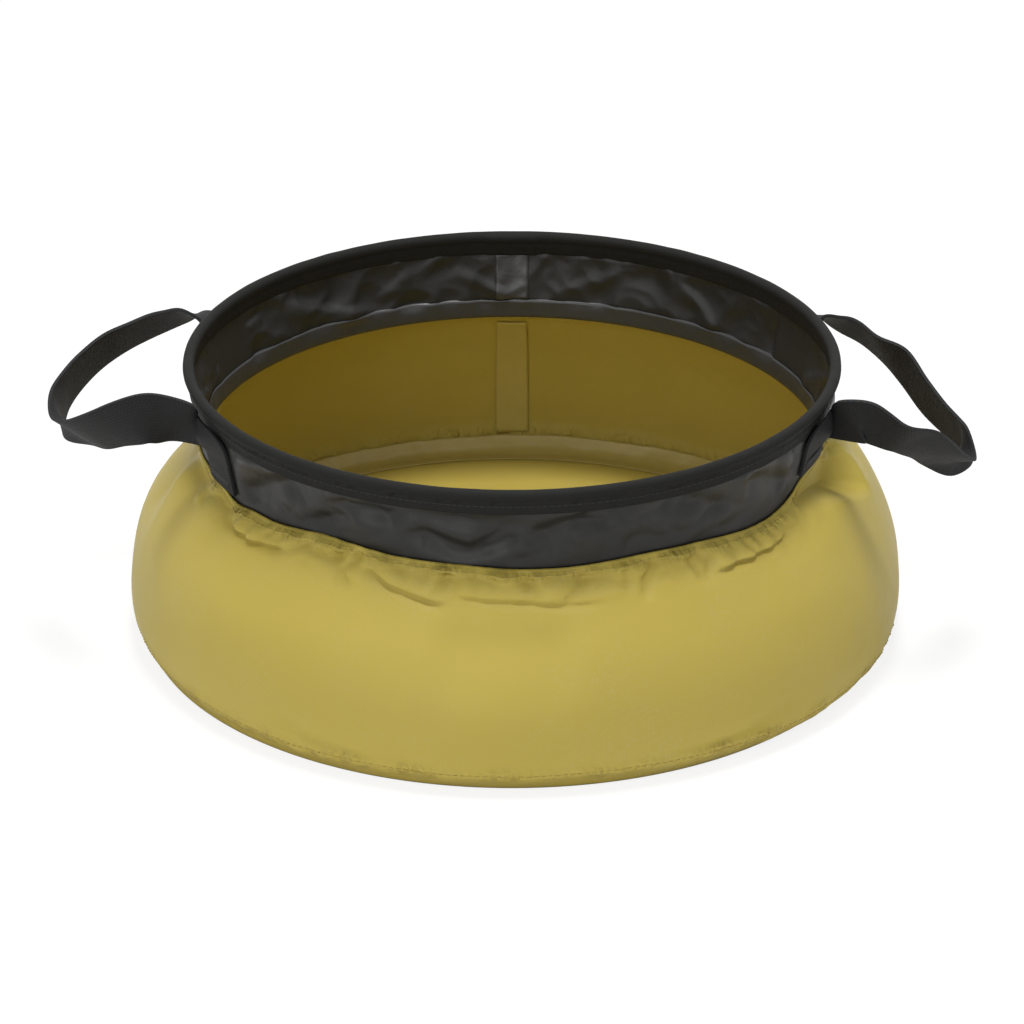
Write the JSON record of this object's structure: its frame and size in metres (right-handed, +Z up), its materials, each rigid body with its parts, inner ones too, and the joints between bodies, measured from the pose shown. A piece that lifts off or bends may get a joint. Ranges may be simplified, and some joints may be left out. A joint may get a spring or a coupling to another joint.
{
  "type": "collapsible camp washbasin",
  "caption": "Round fabric washbasin with a sprung hoop in its rim, a wide bellied wall that folds down, and webbing carry handles that swing at the rim.",
  "frame": {"origin": "on the floor under the centre of the basin", "axes": "+X towards the right handle, +Y to the back where the upright seams are, +Z up"},
  "size_m": [0.4179, 0.3502, 0.1335],
  "materials": {
    "rim_hoop": "bright drawn spring wire",
    "hoop_ferrule": "plain pressed sleeve",
    "rim_binding": "black coated cloth, soft sheen",
    "rim_stitching": "black thread",
    "upper_wall": "black coated cloth, soft sheen",
    "upper_seam_tape": "clear sealing tape on black cloth",
    "waist_seam_tape": "clear sealing tape on black cloth",
    "waist_stitching": "olive yellow thread",
    "lower_wall": "olive yellow coated cloth, soft sheen",
    "lower_seam_tape": "clear sealing tape on yellow cloth",
    "base_panel": "olive yellow coated cloth, soft sheen",
    "base_seam_tape": "clear sealing tape on yellow cloth",
    "base_stitching": "olive yellow thread",
    "handle_left": "black flat-weave webbing",
    "handle_right": "black flat-weave webbing",
    "handle_left_front_tail": "black flat-weave webbing",
    "handle_left_front_bar_tack": "dense black zigzag thread",
    "handle_left_back_tail": "black flat-weave webbing",
    "handle_left_back_bar_tack": "dense black zigzag thread",
    "handle_right_front_tail": "black flat-weave webbing",
    "handle_right_front_bar_tack": "dense black zigzag thread",
    "handle_right_back_tail": "black flat-weave webbing",
    "handle_right_back_bar_tack": "dense black zigzag thread"
  },
  "bodies": {
    "base": {"base_panel": "base_panel", "base_seam_tape": "base_seam_tape", "base_stitching": "base_stitching", "lower_wall": "lower_wall", "lower_seam_tape": "lower_seam_tape"},
    "rim": {"rim_hoop": "rim_hoop", "hoop_ferrule": "hoop_ferrule", "rim_binding": "rim_binding", "rim_stitching": "rim_stitching", "upper_wall": "upper_wall", "upper_seam_tape": "upper_seam_tape", "waist_seam_tape": "waist_seam_tape", "waist_stitching": "waist_stitching", "handle_left_front_tail": "handle_left_front_tail", "handle_left_front_bar_tack": "handle_left_front_bar_tack", "handle_left_back_tail": "handle_left_back_tail", "handle_left_back_bar_tack": "handle_left_back_bar_tack", "handle_right_front_tail": "handle_right_front_tail", "handle_right_front_bar_tack": "handle_right_front_bar_tack", "handle_right_back_tail": "handle_right_back_tail", "handle_right_back_bar_tack": "handle_right_back_bar_tack"},
    "handle_left": {"handle_left": "handle_left"},
    "handle_right": {"handle_right": "handle_right"}
  },
  "joints": [
    {"name": "collapse", "type": "slide", "parent": "base", "child": "rim", "axis": [0, 0, -1], "range_m": [0, 0.07], "deforming": ["lower_wall", "lower_seam_tape"]},
    {"name": "handle_left_swing", "type": "hinge", "parent": "rim", "child": "handle_left", "pos_m": [-0.14281, 0, 0.1195], "axis": [0, 1, 0], "range_deg": [0, 105]},
    {"name": "handle_right_swing", "type": "hinge", "parent": "rim", "child": "handle_right", "pos_m": [0.14281, 0, 0.1195], "axis": [0, -1, 0], "range_deg": [0, 120]}
  ]
}
